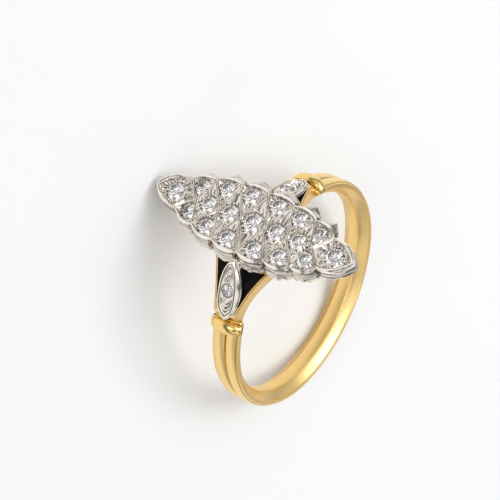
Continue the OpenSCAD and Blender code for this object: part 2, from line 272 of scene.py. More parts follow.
def collar(side):
    """The arched bead of the near (-1) or far (1) side, one section after another along it."""
    rows = []
    for k in range(41):
        x = COLLAR_HALF_W * math.sin(math.pi * (k / 40 - 0.5))
        to_end = 1 - min(1, (COLLAR_HALF_W - abs(x)) / COLLAR_END)
        full = math.sqrt(1 - to_end**2)
        middle = ARCH_FOOT + math.sqrt(ARCH_LOW_R**2 - min(x * x, 1.6))
        top = ARCH_FOOT + math.sqrt(ARCH_TOP_R**2 - x * x)
        top = END_TOP + (top - END_TOP) * (0.35 + 0.65 * full)
        low = hole_r(x) + 0.01
        low += (END_LOW - low) * (1 - full)
        middle = max(middle, low + 0.05)
        half_t = COLLAR_HALF_T * (0.45 + 0.55 * full)
        loop = [(half_t, low, 0)]
        loop += [(w * half_t, max(middle + (top - middle) * h, low), painted_shade) for w, h, painted_shade in BEAD]
        loop += [(-w, r, painted_shade) for w, r, painted_shade in reversed(loop[:-1])]
        row = []
        for across_bead, r, painted_shade in loop:
            point = round_finger(x, r, COLLAR_A + math.degrees(across_bead / MEAN_R))
            row.append((point.x, side * point.y, point.z, painted_shade))
        rows.append(row)
    return rolled(rows)


for side, where in ((-1, "near"), (1, "far")):
    lay_down(collar(side), f"collar_{where}", angle=40)

# %% [markdown]
# ## The shoulders
# A shoulder opens like a trumpet from the collar to the head. Its face carries a sunk field with
# black enamel between two gold edges, and each edge is cut with a fine line. Its face falls away
# in front of the collar, so that the bead stands clear. A grid is bent over the finger's radius,
# thickened by one extrusion, and the field is sunk by another.

# %% The plan of a shoulder
# Widths and heights in millimetres, angles in degrees from the middle of the head
PLAN_A = 29
WAIST = 0.78
FLARE_R = 13.9
WAIST_S = 3.6
FIELD_LOW = 0.32
RAIL_TOP = 9.98
RAIL_T = 0.28
HEAD_OFF = 0.5
RAIL_W = 2.76
EDGE_W = 0.17
LINE_LOW = 0.06
INNER_END = 11.5
ENAMEL_END = 30.8
FIELD_END = 34
FALL_START, FALL_END, FALL_BY = 35.4, 37.8, 0.46


def shoulder_half_w(angle):
    """Half width of a shoulder at an angle from the middle of the head."""
    s = SHOULDER_R * math.sin(math.radians(angle - PLAN_A))
    return WAIST + FLARE_R - math.sqrt(FLARE_R**2 - (s - WAIST_S) ** 2)


def eased(share):
    """A share from 0 to 1 that starts and ends gently."""
    share = min(1, max(0, share))
    return share * share * (3 - 2 * share)


def inner_r(x):
    """Radius of a shoulder's inner face: the finger hole, with its two bends rounded over."""
    return FINGER_R + (WIDE_R - FINGER_R) * eased((abs(x) - 0.35) / 0.9)


def under_rail(point, side):
    """Keeps a point of a shoulder under the rail and out of the head."""
    if point.y < RAIL_W + side * HEAD_OFF + 0.01:
        point.z = min(point.z, RAIL_TOP - RAIL_T / 2)
    return point


# %% Bend, thicken and sink a shoulder
def to_radius(vertex, r):
    """Moves a point towards or away from the finger's axis."""
    reach = math.hypot(vertex.co.y, vertex.co.z)
    vertex.co.y *= r / reach
    vertex.co.z *= r / reach


def angle_of(point):
    """Angle of a point from the middle of the head, in degrees."""
    return math.degrees(math.atan2(point.y, point.z))


def in_field(face, beside_rail):
    """Whether a face belongs to the field that is sunk for the enamel."""
    for vertex in face.verts:
        inside_edge = shoulder_half_w(angle_of(vertex.co)) - EDGE_W + 0.005
        lowest = SHOULDER_R - LINE_LOW - 0.005
        if math.hypot(vertex.co.y, vertex.co.z) <= lowest or abs(vertex.co.x) >= inside_edge:
            return False
    return beside_rail < angle_of(face.calc_center_median()) < ENAMEL_END


def shoulder(side):
    """A shoulder drawn on the far side; the near one is its mirror image."""
    beside_rail = math.degrees(math.asin((RAIL_W + side * HEAD_OFF + 0.02) / SHOULDER_R))
    under_it = beside_rail - 0.4 - INNER_END
    angles = [INNER_END + under_it * k / 5 for k in range(5)] + [beside_rail - 0.1]
    angles += [beside_rail + (FIELD_END - beside_rail) * k / 30 for k in range(31)]
    angles += [34.4, FALL_START, 36, 36.6, 37.2, FALL_END, 38.6, 40, 42]
    from_side = [0, 0.04, 0.07, 0.1, EDGE_W]
    columns = [-1] * 5 + [-0.8 + 0.2 * k for k in range(9)] + [1] * 5
    clear()
    bpy.ops.mesh.primitive_grid_add(
        x_subdivisions=len(columns) - 1, y_subdivisions=len(angles) - 1, size=1
    )
    piece = bpy.context.object
    painted_shade = piece.data.attributes.new("painted_shade", "FLOAT", "POINT")
    order = sorted(piece.data.vertices, key=lambda v: (round(v.co.y, 5), round(v.co.x, 5)))
    for k, vertex in enumerate(order):
        row, column = divmod(k, len(columns))
        angle = angles[row]
        edge = min(column, len(columns) - 1 - column)
        x = columns[column] * (shoulder_half_w(angle) - from_side[min(edge, 4)])
        line = edge == 2 and beside_rail <= angle < FIELD_END + 0.5
        tongue = edge >= 5 and ENAMEL_END < angle < FIELD_END + 0.1
        r = SHOULDER_R - (LINE_LOW if line or tongue else 0) - (0.03 if edge == 0 else 0)
        r -= FALL_BY * eased((angle - FALL_START) / (FALL_END - FALL_START))
        vertex.co = under_rail(round_finger(x, r, angle), side)
        # Painted shade: the cut line along each edge is darkened strongly, and the sunk tongue beyond
        # the enamel a little.
        painted_shade.data[vertex.index].value = 0.9 if line else 0.5 if tongue else 0
    bpy.ops.object.mode_set(mode="EDIT")
    bpy.ops.mesh.select_mode(type="FACE")
    bpy.ops.mesh.select_all(action="SELECT")
    bpy.ops.mesh.extrude_region_move()
    mesh = bmesh.from_edit_mesh(piece.data)
    for vertex in [v for v in mesh.verts if v.select]:
        to_radius(vertex, inner_r(vertex.co.x))
    bpy.ops.mesh.select_all(action="DESELECT")
    for face in mesh.faces:
        if in_field(face, beside_rail):
            face.select = True
    bpy.ops.mesh.extrude_region_move()
    mesh = bmesh.from_edit_mesh(piece.data)
    sunk = [v for v in mesh.verts if v.select]
    for vertex in sunk:
        to_radius(vertex, SHOULDER_R - FIELD_LOW)
    print("points in the sunk field:", len(sunk))
    bpy.ops.object.mode_set(mode="OBJECT")
    if side < 0:
        piece.data.transform(Matrix.Scale(-1, 4, (0, 1, 0)))
    tidy_mesh(piece)
    return piece


for side, where in ((-1, "near"), (1, "far")):
    lay_down(shoulder(side), f"shoulder_{where}", angle=35)

# %% [markdown]
# ## The rail
# Under the head lies a thin gold rail in the shape of a long lens. The shoulders are soldered to
# it. Two lens outlines, one inside the other, make its four walls.


# %% Two lenses, one inside the other
def lens(half_l, half_w, z, n=48):
    """A lens outline with n points on each of its two arcs."""
    r = (half_l**2 + half_w**2) / (2 * half_w)
    ring = []
    for k in range(2 * n):
        t = math.pi * k / n
        x = half_l * math.cos(t)
        y = max(math.sqrt(r * r - x * x) - (r - half_w), 0) * (1 if k < n else -1)
        ring.append((x, y + HEAD_OFF, z, 0))
    return ring


RAIL_L = 8.1
rail_low = RAIL_TOP - RAIL_T
# Half length, half width and height of each lens in turn
LENSES = [
    (RAIL_L - 0.08, RAIL_W - 0.06, RAIL_TOP),
    (RAIL_L, RAIL_W, RAIL_TOP - 0.06),
    (RAIL_L, RAIL_W, rail_low + 0.06),
    (RAIL_L - 0.08, RAIL_W - 0.06, rail_low),
    (6.66, 2.06, rail_low),
    (6.6, 2.01, rail_low + 0.05),
    (6.6, 2.01, RAIL_TOP),
    (RAIL_L - 0.08, RAIL_W - 0.06, RAIL_TOP),
]
rail = rolled([lens(*size) for size in LENSES], caps=False)
lay_down(rail, "rail")

# %% [markdown]
# ## The plan of the head
# The head is a long pointed shape with scallops. Straight ridges cross its face from notch to
# notch and meet on its middle line, so that each of the nineteen stones lies in a cell of its
# own. Notches, joints and stones are the model's own sizes.

# %% Notches, joints and stones
HEAD_TOP = 11.8
HALF_L = 8.8
HALF_W = 2.5
SCALLOP = 0.34
POINT_BULGE = 0.42
GIRDLE = HEAD_TOP - 0.16
# Stones as (x, diameter) on the middle line and (x, y, diameter) beside it, then the places
# where ridges meet on the middle line, and the notches between scallops
MIDDLE = [(0, 1.7), (2.08, 1.5), (4.03, 1.44), (7.15, 1.52)]
OUTER = [(1.2, 1.87, 1.44), (3.26, 1.64, 1.4), (5.23, 1.07, 1.34)]
JOINTS = [1.07, 3.08, 5.2]
NOTCHES = [(0, 2.5), (2.33, 2.37), (4.45, 1.96), (6.33, 1.32), (HALF_L, 0)]
# Shares of a scallop at which it gets a point, closer together near the notches
SHARES = [0, 0.04, 0.11, 0.2, 0.31, 0.42, 0.5, 0.58, 0.69, 0.8, 0.89, 0.96]
CORNERS = list(reversed(NOTCHES)) + [(-x, y) for x, y in NOTCHES[1:]]
CORNERS += [(-x, -y) for x, y in reversed(NOTCHES[:4])] + [(x, -y) for x, y in NOTCHES[1:4]]


def bulging(a, b, t, bulge):
    """A point of the curve that bulges out between two notches."""
    along_x, along_y = b[0] - a[0], b[1] - a[1]
    length = math.hypot(along_x, along_y)
    out = 4 * bulge * t * (1 - t) / length
    return (a[0] + along_x * t + along_y * out, a[1] + along_y * t - along_x * out)


def outward(p, by):
    """A point of the outline moved out, square to a long ellipse."""
    nx, ny = p[0] / HALF_L**2, p[1] / HALF_W**2
    length = math.hypot(nx, ny) or 1
    return (p[0] + by * nx / length, p[1] + by * ny / length)


def outline(share):
    """All points of the outline as (x, y, share of the scallop, at a point of the head)."""
    ring = []
    for i, a in enumerate(CORNERS):
        b = CORNERS[(i + 1) % len(CORNERS)]
        at_point = HALF_L in (abs(a[0]), abs(b[0]))
        for t in SHARES:
            x, y = bulging(a, b, t, POINT_BULGE if at_point else share * SCALLOP)
            ring.append((x, y, t, at_point))
    return ring


print("points round the head:", len(outline(1)))

# %% [markdown]
# ## The side wall of the head
# Each scallop starts with a bright-cut crescent, a slanting facet cut with a flat graver. Below it
# a steep wall runs down to a lip shaped like a petal, and under the lip a second tier of petals
# ends in a wavy edge, which flares out on the near side. The outline is carried down through all
# of these heights. A short notch between two scallops pinches the wall in, and painted shade
# darkens the wall below the crescents and at each notch; together they make the dark lines seen
# in the real one.

# %% Heights of the wall
NOTCH_SHARE = 0.11
# Below these heights the scallops are facetted, the notches darkened with painted shade and the edge
# wavy
FACETS_Z, NOTCH_SHADE_Z, WAVY_Z = 11.52, 11.6, 10.4
# Height, distance out, how much less at the points, scallop share, petal, notch pinch, painted
# shade and how much farther the near side stands out
WALL = [
    (11.8, 0, 0, 0.6, 0, 0, 0, 0),
    (11.83, 0.02, 0, 0.62, 0, 0, 0, 0),
    (11.8, 0.05, 0, 0.66, 0, 0.02, 0, 0),
    (11.59, 0.1, 0.02, 1, 0.03, 0.06, 0, 0),
    (11.57, 0.03, 0.02, 1, 0.03, 0.1, 0.9, 0),
    (11.5, 0.05, 0.05, 1, 0.03, 0.12, 0.9, 0),
    (11.46, 0.15, 0.08, 1, 0.1, 0.14, 1, 0),
    (11.38, 0.19, 0.12, 1, 0.13, 0.17, 0.5, 0),
    (11.25, 0.28, 0.2, 1, 0.2, 0.22, 0.45, 0),
    (11.04, 0.34, 0.3, 1, 0.32, 0.26, 0.65, 0),
    (10.96, 0.43, 0.33, 1, 0.38, 0.22, 0, 0),
    (10.9, 0.44, 0.34, 1, 0.38, 0.22, 0, 0),
    (10.86, 0.42, 0.35, 1, 0.36, 0.2, 0.2, 0),
    (10.8, 0.26, 0.35, 1, 0.06, 0.14, 0.9, 0.1),
    (10.72, 0.28, 0.38, 1, 0.04, 0.1, 0.5, 0.13),
    (10.6, 0.33, 0.4, 1, 0.04, 0.1, 0.15, 0.2),
    (10.32, 0.16, 0.45, 1, 0.03, 0.1, 0.3, 0.36),
    (10.05, -0.03, 0.5, 1, 0, 0.08, 0.2, 0.2),
]


def facet_share(t):
    """How far a facetted scallop stands out: straight from a notch facet to its middle."""
    near = min(t, 1 - t)
    if near < NOTCH_SHARE:
        return 0.34 * near / NOTCH_SHARE
    return 0.34 + 0.66 * (near - NOTCH_SHARE) / (0.5 - NOTCH_SHARE)


def wall_ring(z, out, tuck, share, petal, pinch, depth, flare):
    """One height of the outer wall, from a row of the table."""
    ring = []
    for x, y, t, at_point in outline(share):
        near_notch = max(0, 1 - min(t, 1 - t) / NOTCH_SHARE)
        petal_here = 0 if at_point else petal if y > 0 else -0.15 * petal
        by = out - tuck * (x / HALF_L) ** 2 + petal_here * (1 - abs(2 * t - 1)) ** 0.8
        by -= pinch * near_notch * (abs(y) > 0.3)
        if y < 0 and not at_point:
            by += flare * (0.85 + 0.15 * math.sin(11 * x)) * min(1, -y)
        if z < FACETS_Z and not at_point:
            by += 0.8 * SCALLOP * (facet_share(t) - 4 * t * (1 - t))
        px, py = outward((x, y), by)
        low = z
        if z < WAVY_Z:
            low += 0.26 * near_notch * (abs(y) > 0.3) * (WAVY_Z - z) / 0.35
        # Painted shade: the row's own amount, and more near each notch on the lower wall.
        painted_shade = min(1, depth + 0.7 * near_notch * (z < NOTCH_SHADE_Z))
        ring.append((px, py + HEAD_OFF, low, painted_shade))
    return ring


def inner_ring(z, sx, sy, share, depth):
    """One height of the inner wall: the outline made smaller."""
    return [(sx * x, sy * y + HEAD_OFF, z, depth) for x, y, _, _ in outline(share)]


wall_rows = [wall_ring(*row) for row in WALL]
# The inner wall under the head gets painted shade as well.
wall_rows += [
    inner_ring(10.1, 0.955, 0.85, 0.8, 0.3),
    inner_ring(10.12, 0.94, 0.79, 0.5, 0.3),
    inner_ring(10.82, 0.94, 0.79, 0.5, 0.6),
    inner_ring(10.86, 1, 1, 0.6, 0.6),
    wall_rows[0],
]
wall = rolled(wall_rows, caps=False, merge=2e-4)
print("faces of the wall:", len(wall.data.polygons))

# %% [markdown]
# ## The cells
# A cell is a small pan with straight sides: the crest of the ridge, a fine cut line inside it, an
# engraved slope and a thin collar round the stone, which the setter pushed up with the graver.
# All of them are the same recipe with another plan. Seen from the stone, a convex plan is the
# nearest of its edges in each direction, and so a ring of points can pass from plan to circle.


# %% From a plan to the circle round a stone
def edges_of(plan, cx, cy):
    """Each edge of a convex plan as (normal x, normal y, distance) seen from a stone."""
    found = []
    for i, a in enumerate(plan):
        b = plan[(i + 1) % len(plan)]
        ex, ey = b[0] - a[0], b[1] - a[1]
        length = math.hypot(ex, ey)
        if length < 1e-6:
            continue
        nx, ny = ey / length, -ex / length
        away = nx * (a[0] - cx) + ny * (a[1] - cy)
        found.append((nx, ny, away) if away > 0 else (-nx, -ny, -away))
    return found


BEYOND = 9.0


def reach_of(edges, angle, inset):
    """Distance from a stone to its plan, moved in by an inset."""
    dx, dy = math.cos(angle), math.sin(angle)
    near = BEYOND
    for nx, ny, away in edges:
        facing = nx * dx + ny * dy
        if facing > 1e-3:
            near = min(near, (away - inset) / facing)
    return near


def directions(plan, cx, cy, n=44):
    """Evenly spread directions from a stone, and those of its plan's corners."""
    corners = [math.atan2(y - cy, x - cx) % (2 * math.pi) for x, y in plan]
    even = [2 * math.pi * k / n for k in range(n)]
    apart = 0.4 * math.pi / n
    even = [a for a in even if all(abs(math.remainder(a - c, 2 * math.pi)) > apart for c in corners)]
    return sorted(set(round(a, 6) for a in even + corners))


# %% One cell
# Inset from the plan, room round the stone, height below the crest and painted shade
RIDGE = [
    (0, 0.09, 0, 0),
    (0.03, 0.08, -0.01, 0),
    (0.055, 0.07, 0.06, 0.6),
    (0.085, 0.06, 0.08, 0.85),
    (0.11, 0.055, 0.03, 0),
    (0.16, 0.05, 0.06, 0.2),
]
# Share of the way in from the ridge to the stone, height below the crest and painted shade
SLOPE = [(0.75, 0.1, 0.15), (0.5, 0.13, 0.3), (0.25, 0.17, 0.45), (0.08, 0.19, 0.9)]
SLOPE_FOOT = 0.045
CELL_LOW = HEAD_TOP - 0.94


def cell(plan, cx, cy, d, framed):
    """The pan of metal round one stone; a framed one has a ridge of its own inside the plan."""
    edges = edges_of(plan, cx, cy)
    ways = directions(plan, cx, cy)
    border = [reach_of(edges, a, 0) for a in ways]
    r = d / 2
    rows = []

    def ring(radius, z, depth):
        made = []
        for k, a in enumerate(ways):
            reach = radius(k, a)
            x, y = cx + reach * math.cos(a), cy + reach * math.sin(a)
            made.append((x, y + HEAD_OFF, z(k), depth(k)))
        rows.append(made)

    def within(k, a, inset, room):
        return min(border[k], max(reach_of(edges, a, inset), r + room))

    for inset, room, low, depth in RIDGE:
        ring(lambda k, a: within(k, a, inset, room), lambda k: HEAD_TOP - low, lambda k: depth)
    start = [within(k, a, 0.16, 0.05) for k, a in enumerate(ways)]
    # Every third direction is a graver's cut, a little lower and darkened with painted shade; the rest
    # of the slope gets a little painted shade.
    for share, low, depth in SLOPE:
        ring(
            lambda k, a: r + SLOPE_FOOT + (start[k] - r - SLOPE_FOOT) * share,
            lambda k: HEAD_TOP - low + (0.035 if k % 3 else -0.05),
            lambda k: 0.25 if k % 3 else depth + 0.7,
        )
    if framed:
        for index, rise in ((6, 0.1), (7, 0.02)):
            rows[index] = [(x, y, z + rise, depth) for x, y, z, depth in rows[index]]
    # Room round the stone, height and painted shade, over the stone's collar and down behind the stone
    for room, z, depth in (
        (0.04, HEAD_TOP - 0.13, 0),
        (0.018, HEAD_TOP - 0.12, 0),
        (0.012, HEAD_TOP - 0.2, 0.9),
        (-0.14 * r, GIRDLE - 0.16, 0.5),
        (-0.62 * r, GIRDLE - 0.34 * d, 0.2),
        (-0.64 * r, CELL_LOW, 0.5),
    ):
        ring(lambda k, a: min(r + room, border[k] + 0.02), lambda k: z, lambda k: depth)
    rows.append([(x, y, CELL_LOW, 0.3) for x, y, _, _ in rows[0]])
    rows.append(rows[0])
    return rolled(rows, caps=False)


def rim_points(i, j):
    """Points of the outline between two notches, where the wall starts."""
    a, b = NOTCHES[i], NOTCHES[j]
    bulge = POINT_BULGE if NOTCHES[-1] in (a, b) else 0.6 * SCALLOP
    return [bulging(a, b, t, bulge) for t in SHARES] + [b]


# Plan, middle and diameter of the stone, and whether the cell is framed
lozenge = [(-JOINTS[0], 0), NOTCHES[0], (JOINTS[0], 0), (0, -NOTCHES[0][1])]
PLANS = [(lozenge, 0, 0, MIDDLE[0][1], False)]
for sx in (-1, 1):
    for i in (1, 2):
        x, y = NOTCHES[i]
        plan = [(sx * JOINTS[i - 1], 0), (sx * x, y), (sx * JOINTS[i], 0), (sx * x, -y)]
        PLANS.append((plan, sx * MIDDLE[i][0], 0, MIDDLE[i][1], False))
    for i, (x, y, d) in enumerate(OUTER):
        for sy in (-1, 1):
            rim = [(sx * px, sy * py) for px, py in rim_points(i + 1, i)]
            PLANS.append(([(sx * JOINTS[i], 0)] + rim, sx * x, sy * y, d, False))
    upper = rim_points(4, 3)
    tip = [(sx * px, py) for px, py in upper] + [(sx * JOINTS[2], 0)]
    tip += [(sx * px, -py) for px, py in reversed(upper[1:])]
    PLANS.append((tip, sx * MIDDLE[3][0], 0, MIDDLE[3][1], True))

cells = [cell(*entry) for entry in PLANS]
print("cells:", len(cells))

# %% [markdown]
# ## Grains, blades and rims
# Grains of metal hold the stones: the setter raises them in the corners of each cell and rounds
# them with a hollow tool. One ball is modelled and copied. Slender bright-cut blades lie along
# the ridges, one broad wedge beside the middle stone, and a thick rounded rim runs round each
# point of the head.


# %% Grains in the corners
GRAIN_ROOM = 0.17
GRAIN_PITCH = 0.23


def grain_places():
    """A matrix for each grain: up to three in a row wherever a cell leaves room for them."""
    places = []
    for plan, cx, cy, d, _ in PLANS:
        edges = edges_of(plan, cx, cy)
        for k in range(18):
            a = k * math.radians(20)
            free = reach_of(edges, a, 0.13) - d / 2 - GRAIN_ROOM
            if free < 0:
                continue
            size = 0.1 if k % 3 else 0.075
            flat = Matrix.Diagonal((size, size, 0.8 * size, 1))
            in_a_row = 1 if k % 2 else min(3, 1 + int(free / 0.24))
            for step in range(in_a_row):
                reach = d / 2 + 0.1 + GRAIN_PITCH * step
                x, y = cx + reach * math.cos(a), cy + reach * math.sin(a)
                places.append(Matrix.Translation((x, y + HEAD_OFF, HEAD_TOP - 0.17)) @ flat)
    return places


clear()
bpy.ops.mesh.primitive_ico_sphere_add(subdivisions=2, radius=1)
ball = bpy.context.object
ball.data.attributes.new("painted_shade", "FLOAT", "POINT")
spots = grain_places()
grains = copies(ball, spots)
print("grains:", len(spots))


# %% Blades along the ridges
RIDGE_BLADE = (0.085, 0.07)
WEDGE = ((1.2, 0.28), (2.25, 2.1), 0.17, 0.06)


def blade(a, b, width, high):
    """A slender blade from a to b, sharp along its top."""
    rows = []
    dx, dy = b[0] - a[0], b[1] - a[1]
    length = math.hypot(dx, dy)
    nx, ny = -dy / length, dx / length
    for k in range(11):
        t = 0.04 + 0.92 * k / 10
        w = width * max(0.12, math.sin(math.pi * t) ** 0.7)
        top = HEAD_TOP + high * max(0.3, math.sin(math.pi * t))
        x, y = a[0] + dx * t, a[1] + dy * t + HEAD_OFF
        foot = HEAD_TOP - 0.08
        over = ((-w, foot), (-0.2 * w, top), (0.2 * w, top), (w, foot))
        rows.append([(x + nx * off, y + ny * off, z, 0) for off, z in over])
    return rolled(rows)


blades = []
for sx in (-1, 1):
    for sy in (-1, 1):
        for i, joint in enumerate(JOINTS):
            for notch in (NOTCHES[i], NOTCHES[i + 1]):
                end = (sx * notch[0], sy * notch[1])
                blades.append(blade((sx * joint, 0), end, *RIDGE_BLADE))
blades.append(blade(*WEDGE))
print("blades:", len(blades))


# %% Rims round the two points
RIM_R = 0.18
RIM_Z = HEAD_TOP + 0.04


def rim_path(n=15):
    """The outline from one notch beside a point, over the point, to the other."""
    upper = [bulging(NOTCHES[3], NOTCHES[4], k / n, -POINT_BULGE) for k in range(n)]
    return upper + [NOTCHES[4]] + [(x, -y) for x, y in reversed(upper)]


def rim(sx):
    """A round rim, thinner towards both ends, on the left (-1) or right (1) point."""
    path = rim_path()
    rows = []
    for k, (x, y) in enumerate(path):
        taper = min(1, 0.25 + 3.2 * min(k, len(path) - 1 - k) / len(path))
        row = []
        for s in range(12):
            t = 2 * math.pi * s / 12
            px, py = outward((x, y), -0.06 + RIM_R * taper * math.cos(t))
            row.append((sx * px, py + HEAD_OFF, RIM_Z + RIM_R * taper * math.sin(t), 0))
        rows.append(row)
    return rolled(rows)


rims = [rim(-1), rim(1)]
head = joined([wall] + cells + blades + rims + [grains])

# %% [markdown]
# No two cuts of a graver are alike. A very small wave moves every point of the head, the same at
# the same place, so that its lines waver a little and its facets catch the light unevenly. The
# noise starts from a fixed seed, because it would otherwise be another one each time.

# %% The unsteady hand
SLOW_WAVE, QUICK_WAVE = 0.03, 0.014
noise.seed_set(7)
for vertex in head.data.vertices:
    slow = noise.noise_vector(vertex.co * 1.3)
    quick = noise.noise_vector(vertex.co * 5.1)
    vertex.co += SLOW_WAVE * slow + QUICK_WAVE * quick
lay_down(head, "head_setting", stands_for=("head",), angle=28)
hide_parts("gold_mount")

# %% [markdown]
# ## The shoulder leaves
# A long leaf of white metal lies on each shoulder. It is a small box with a bright rim, a cut line
# inside the rim, cuts nested in one another towards both ends and a round stone in its middle. It
# is drawn flat and then tilted onto its shoulder, down to whose round face its side wall reaches.

# %% The plan of a leaf
LEAF_UP = 2.4
LEAF_DOWN = 2.3
LEAF_W = 0.8
WIDEST = 0.3
LEAF_Y = 4.55
LEAF_Z = 9.8
LEAF_SLOPE = math.radians(44)
LEAF_STONE = 1.05
LEAF_CUT = 2.86


def leaf_half_w(t):
    """Half width of a leaf at a distance from its middle, towards the collar."""
    if t < WIDEST:
        return LEAF_W * (1 - 0.8 * ((WIDEST - t) / (LEAF_UP + WIDEST)) ** 2.6)
    return LEAF_W * (1 - ((t - WIDEST) / (LEAF_DOWN - WIDEST)) ** 4)


steps = [-LEAF_UP + (LEAF_UP + LEAF_DOWN) * k / 24 for k in range(25)]
leaf_plan = [(leaf_half_w(t), t) for t in steps]
leaf_plan += [(-leaf_half_w(t), t) for t in reversed(steps[1:-1])]
print("points in a leaf's plan:", len(leaf_plan))


def on_leaf(x, y, z, side):
    """A point of the flat leaf, on its shoulder."""
    c, s = math.cos(LEAF_SLOPE), math.sin(LEAF_SLOPE)
    return (x, side * (LEAF_Y + y * c + z * s), LEAF_Z - y * s + z * c)


def down_to_shoulder(y):
    """How far below the leaf's plane its shoulder's round face lies."""
    c, s = math.cos(LEAF_SLOPE), math.sin(LEAF_SLOPE)
    py, pz = LEAF_Y + y * c, LEAF_Z - y * s
    half_b = py * s + pz * c
    inside = half_b**2 - (py * py + pz * pz - (SHOULDER_R + 0.01) ** 2)
    return -half_b + math.sqrt(max(inside, 0))


def engraved(x, y, cut):
    """Depth of a cut that runs round the leaf, which also sets its painted shade: none beside the
    stone, unsteady near the ends.
    """
    return cut * min(1, max(0, (abs(y) - 0.45) / 0.5)) * (0.62 + 0.38 * math.sin(8 * x + 5 * y))


# %% Build both leaves
# Distance out from the plan, depth below the rim and painted shade, down the side wall
TIERS = [(0.17, 0.5, 0.1), (0.17, 0.36, 0), (0.08, 0.29, 0.8), (0.09, 0.2, 0), (0, 0.03, 0)]
# Inset from the plan, depth below the rim and painted shade, over the rim and its cut line
LEAF_RIM = [(0.03, 0, 0), (0.09, 0, 0), (0.12, 0.1, 0.9), (0.17, 0.11, 1), (0.2, 0.02, 0)]
LEAF_RIM += [(0.25, 0.04, 0)]
# Room round the stone, depth below the rim and painted shade, at the stone's collar
LEAF_SEAT = [(0.07, 0.17, 1), (0.045, 0.04, 0), (0.02, 0.03, 0), (0.01, 0.12, 0.9)]


def leaf(side):
    """The leaf of the near (-1) or far (1) shoulder, cut off square where the head begins."""
    edges = edges_of(leaf_plan, 0, 0)
    ways = directions([(0, -LEAF_UP), (0, LEAF_DOWN)], 0, 0, 120)
    border = [reach_of(edges, a, 0) for a in ways]
    r = LEAF_STONE / 2
    rows = []

    def ring(radius, height, depth):
        made = []
        for k, a in enumerate(ways):
            reach = radius(k, a)
            x, y = reach * math.cos(a), reach * math.sin(a)
            made.append((*on_leaf(x, y, height(x, y), side), depth(x, y)))
        rows.append(made)

    # Every ring below carries painted shade too: the foot of the side wall, the cut lines, the nested
    # cuts and the stone's seat are darkened.
    ring(lambda k, a: border[k], lambda x, y: min(down_to_shoulder(y), -0.2), lambda x, y: 0.5)
    for swell, low, depth in TIERS:
        ring(
            lambda k, a: border[k] + swell * (1 + 0.4 * math.cos(a)),
            lambda x, y: max(-low, 0.8 * down_to_shoulder(y)) if low > 0.05 else -low,
            lambda x, y: depth,
        )
    for inset, low, depth in LEAF_RIM:
        ring(
            lambda k, a: max(reach_of(edges, a, inset), r + 0.07),
            lambda x, y: -low,
            lambda x, y: depth,
        )
    start = [max(reach_of(edges, a, 0.25), r + 0.06) for a in ways]
    # Each nested cut is sunk, and darkened with painted shade as much as it is cut.
    for step in range(17):
        share = 0.96 - 0.057 * step
        cut = (0, 1, 1, 0)[step % 4]
        ring(
            lambda k, a: r + 0.05 + (start[k] - r - 0.05) * share,
            lambda x, y: -0.03 - 0.16 * engraved(x, y, cut),
            lambda x, y: engraved(x, y, cut),
        )
    for room, low, depth in LEAF_SEAT + [(-0.15 * r, 0.3, 0.5), (-0.7 * r, 0.58, 0.3)]:
        ring(lambda k, a: r + room, lambda x, y: -low, lambda x, y: depth)
    piece = rolled(rows)
    cut_y = LEAF_CUT + side * HEAD_OFF
    bpy.ops.object.mode_set(mode="EDIT")
    bpy.ops.mesh.select_all(action="SELECT")
    bpy.ops.mesh.bisect(
        plane_co=(0, side * cut_y, 0), plane_no=(0, side, 0), clear_inner=True, use_fill=True
    )
    bpy.ops.object.mode_set(mode="OBJECT")
    tidy_mesh(piece)
    return piece


for side, where in ((-1, "near"), (1, "far")):
    name = f"leaf_{where}"
    lay_down(leaf(side), name + "_piece", stands_for=(name,), angle=25)

# %% [markdown]
# ## Finishes
# Two groups of nodes serve all the metals. The first makes the fine marks that polishing leaves,
# and the second paints shade into grooves, cut lines and notches. Each metal puts its own colours and
# sizes in.

# %% Group: fine marks
def goes_in(tree, name, kind, value):
    """Gives a group an input with a default."""
    made = tree.interface.new_socket(name=name, in_out="INPUT", socket_type=kind)
    made.default_value = value


def comes_out(tree, name, kind):
    """Gives a group an output."""
    tree.interface.new_socket(name=name, in_out="OUTPUT", socket_type=kind)


marks = bpy.data.node_groups.new("fine_marks", "ShaderNodeTree")
goes_in(marks, "Grain", "NodeSocketFloat", 20000.0)
comes_out(marks, "Marks", "NodeSocketFloat")
comes_out(marks, "Smudges", "NodeSocketFloat")
add = marks.nodes.new
ins, outs, place = add("NodeGroupInput"), add("NodeGroupOutput"), add("ShaderNodeTexCoord")
fine, broad = add("ShaderNodeTexNoise"), add("ShaderNodeTexNoise")
fine.inputs["Detail"].default_value = 3
broad.inputs["Scale"].default_value = 700
broad.inputs["Detail"].default_value = 2
link = marks.links.new
link(place.outputs["Object"], fine.inputs["Vector"])
link(ins.outputs["Grain"], fine.inputs["Scale"])
link(place.outputs["Object"], broad.inputs["Vector"])
link(fine.outputs["Fac"], outs.inputs["Marks"])
link(broad.outputs["Fac"], outs.inputs["Smudges"])
print("nodes for fine marks:", len(marks.nodes))

# %% Group: painted shade
painted_shade_group = bpy.data.node_groups.new("painted_shade_in_hollows", "ShaderNodeTree")
goes_in(painted_shade_group, "Metal", "NodeSocketColor", (0.8, 0.8, 0.8, 1))
goes_in(painted_shade_group, "Dark", "NodeSocketColor", (0.1, 0.1, 0.1, 1))
goes_in(painted_shade_group, "Smudges", "NodeSocketFloat", 0.5)
comes_out(painted_shade_group, "Color", "NodeSocketColor")
add = painted_shade_group.nodes.new
